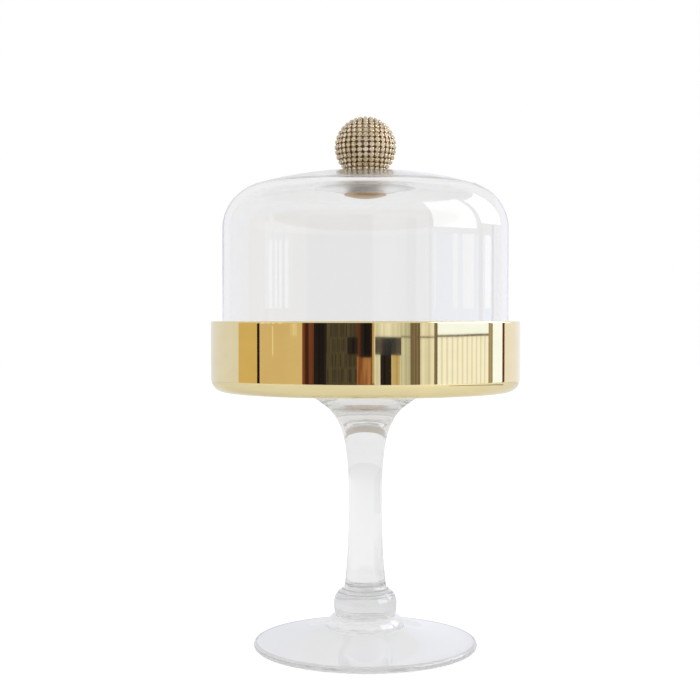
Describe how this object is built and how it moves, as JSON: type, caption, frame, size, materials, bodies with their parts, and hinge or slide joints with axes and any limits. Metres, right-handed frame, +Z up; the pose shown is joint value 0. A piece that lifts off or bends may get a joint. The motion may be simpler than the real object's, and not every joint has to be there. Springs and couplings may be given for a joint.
{
  "type": "cake stand with dome",
  "caption": "Footed glass cake stand with a straight-sided gold-mirrored dish and a lift-off clear glass dome topped by a rhinestone ball knob.",
  "frame": {"origin": "centre of the foot's base, on the table", "axes": "+Z up along the stem, through the knob; the turned glass has no front, so +X is free"},
  "size_m": [0.15, 0.15, 0.2584],
  "materials": {
    "foot_glass": "clear polished",
    "stem_glass": "clear polished",
    "dome_glass": "clear polished",
    "gold_mirror": "gold mirror plating on glass",
    "bond": "clear cured adhesive",
    "soft_clear": "translucent soft",
    "bronze": "satin bronze",
    "steel": "zinc plated",
    "insert_brass": "turned",
    "ball_resin": "cast, painted brown",
    "chain_gold": "champagne gold plating",
    "crystal": "cut and foil backed"
  },
  "bodies": {
    "stand": {"foot": "foot_glass", "foot_bond": "bond", "stem": "stem_glass", "dish_bond": "bond", "dish": "gold_mirror"},
    "lid": {"dome": "dome_glass", "knob_grommet": "soft_clear", "lower_washer": "soft_clear", "thumb_nut": "bronze", "knob_stud": "steel", "knob_insert": "insert_brass", "knob_core": "ball_resin", "cup_ring_01": "chain_gold", "cup_ring_02": "chain_gold", "cup_ring_03": "chain_gold", "cup_ring_04": "chain_gold", "cup_ring_05": "chain_gold", "cup_ring_06": "chain_gold", "cup_ring_07": "chain_gold", "cup_ring_08": "chain_gold", "cup_ring_09": "chain_gold", "cup_ring_10": "chain_gold", "cup_ring_11": "chain_gold", "cup_ring_12": "chain_gold", "cup_ring_13": "chain_gold", "cup_ring_14": "chain_gold", "cup_ring_15": "chain_gold", "cup_ring_16": "chain_gold", "stone_ring_01": "crystal", "stone_ring_02": "crystal", "stone_ring_03": "crystal", "stone_ring_04": "crystal", "stone_ring_05": "crystal", "stone_ring_06": "crystal", "stone_ring_07": "crystal", "stone_ring_08": "crystal", "stone_ring_09": "crystal", "stone_ring_10": "crystal", "stone_ring_11": "crystal", "stone_ring_12": "crystal", "stone_ring_13": "crystal", "stone_ring_14": "crystal", "stone_ring_15": "crystal", "stone_ring_16": "crystal"}
  },
  "joints": [
    {"name": "lid_lift", "type": "slide", "parent": "stand", "child": "lid", "axis": [0, 0, 1], "range_m": [0, 0.12]}
  ]
}
